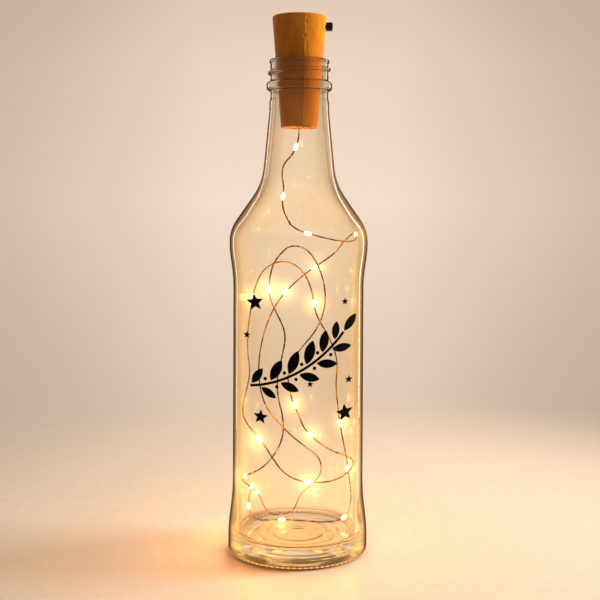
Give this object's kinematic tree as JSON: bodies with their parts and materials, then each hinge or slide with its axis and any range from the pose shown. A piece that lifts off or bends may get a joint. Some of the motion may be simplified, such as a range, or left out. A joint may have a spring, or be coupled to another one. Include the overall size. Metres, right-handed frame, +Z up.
{
  "type": "cork bottle light",
  "caption": "Clear screw-neck glass bottle with a cork-look battery stopper, its slide switch, and a string of small warm lights on thin wire looped inside.",
  "frame": {"origin": "centre of the ring that the bottle stands on, on the floor", "axes": "+Z up along the bottle's axis, -Y towards the front with its decals, +X towards the switch on the stopper"},
  "size_m": [0.0622, 0.0622, 0.2357],
  "materials": {
    "clear_glass": "clear, polished, pressed and blown, with slight waves in the wall",
    "black_vinyl": "thin cut vinyl, satin black",
    "cork_moulding": "cork-coloured moulded plastic with a fine grain, small pits and a parting line",
    "black_plastic": "matt black moulded",
    "cell_steel": "satin stainless steel",
    "plated_steel": "bright plated sheet",
    "board_green": "lacquered circuit board",
    "copper_wire": "enamelled copper, a twisted pair",
    "clear_resin": "clear cured resin, glossy",
    "light_chip": "warm yellow phosphor, lit",
    "soft_rubber": "soft matt rubber"
  },
  "bodies": {
    "bottle": {"bottle_glass": "clear_glass", "sprig_berries_decal": "black_vinyl", "sprig_leaves_decal": "black_vinyl", "sprig_stem_decal": "black_vinyl", "star_decal_1": "black_vinyl", "star_decal_2": "black_vinyl", "star_decal_3": "black_vinyl", "star_decal_4": "black_vinyl", "star_decal_5": "black_vinyl", "star_decal_6": "black_vinyl", "star_decal_7": "black_vinyl", "wire_upper": "copper_wire", "wire_lower": "copper_wire", "wire_end_seal": "clear_resin", "led_chips_upper": "light_chip", "led_chips_lower": "light_chip", "led_drop_01": "clear_resin", "led_drop_02": "clear_resin", "led_drop_03": "clear_resin", "led_drop_04": "clear_resin", "led_drop_05": "clear_resin", "led_drop_06": "clear_resin", "led_drop_07": "clear_resin", "led_drop_08": "clear_resin", "led_drop_09": "clear_resin", "led_drop_10": "clear_resin", "led_drop_11": "clear_resin", "led_drop_12": "clear_resin", "led_drop_13": "clear_resin", "led_drop_14": "clear_resin", "led_drop_15": "clear_resin", "led_drop_16": "clear_resin", "led_drop_17": "clear_resin", "led_drop_18": "clear_resin", "led_drop_19": "clear_resin", "led_drop_20": "clear_resin"},
    "stopper": {"cork_shell": "cork_moulding", "wire_grommet": "soft_rubber", "lead_wires": "copper_wire"},
    "battery_module": {"battery_case": "black_plastic", "case_lid": "cork_moulding", "contact_minus": "plated_steel", "contact_plus": "plated_steel", "circuit_board": "board_green", "resistor": "black_plastic", "switch_housing": "plated_steel", "switch_pins": "plated_steel", "button_cell_1": "cell_steel", "button_cell_2": "cell_steel", "button_cell_3": "cell_steel"},
    "switch": {"switch_knob": "black_plastic"}
  },
  "joints": [
    {"name": "stopper_lift", "type": "slide", "parent": "bottle", "child": "stopper", "axis": [0, 0, 1], "range_m": [0, 0.032], "deforming": ["wire_upper", "led_chips_upper", "led_drop_01", "led_drop_02", "led_drop_03", "led_drop_04"]},
    {"name": "battery_pull", "type": "slide", "parent": "stopper", "child": "battery_module", "axis": [0, 0, 1], "range_m": [0, 0.027], "deforming": ["lead_wires"]},
    {"name": "switch_slide", "type": "slide", "parent": "battery_module", "child": "switch", "axis": [0, 1, 0], "range_m": [0, 0.002]}
  ]
}
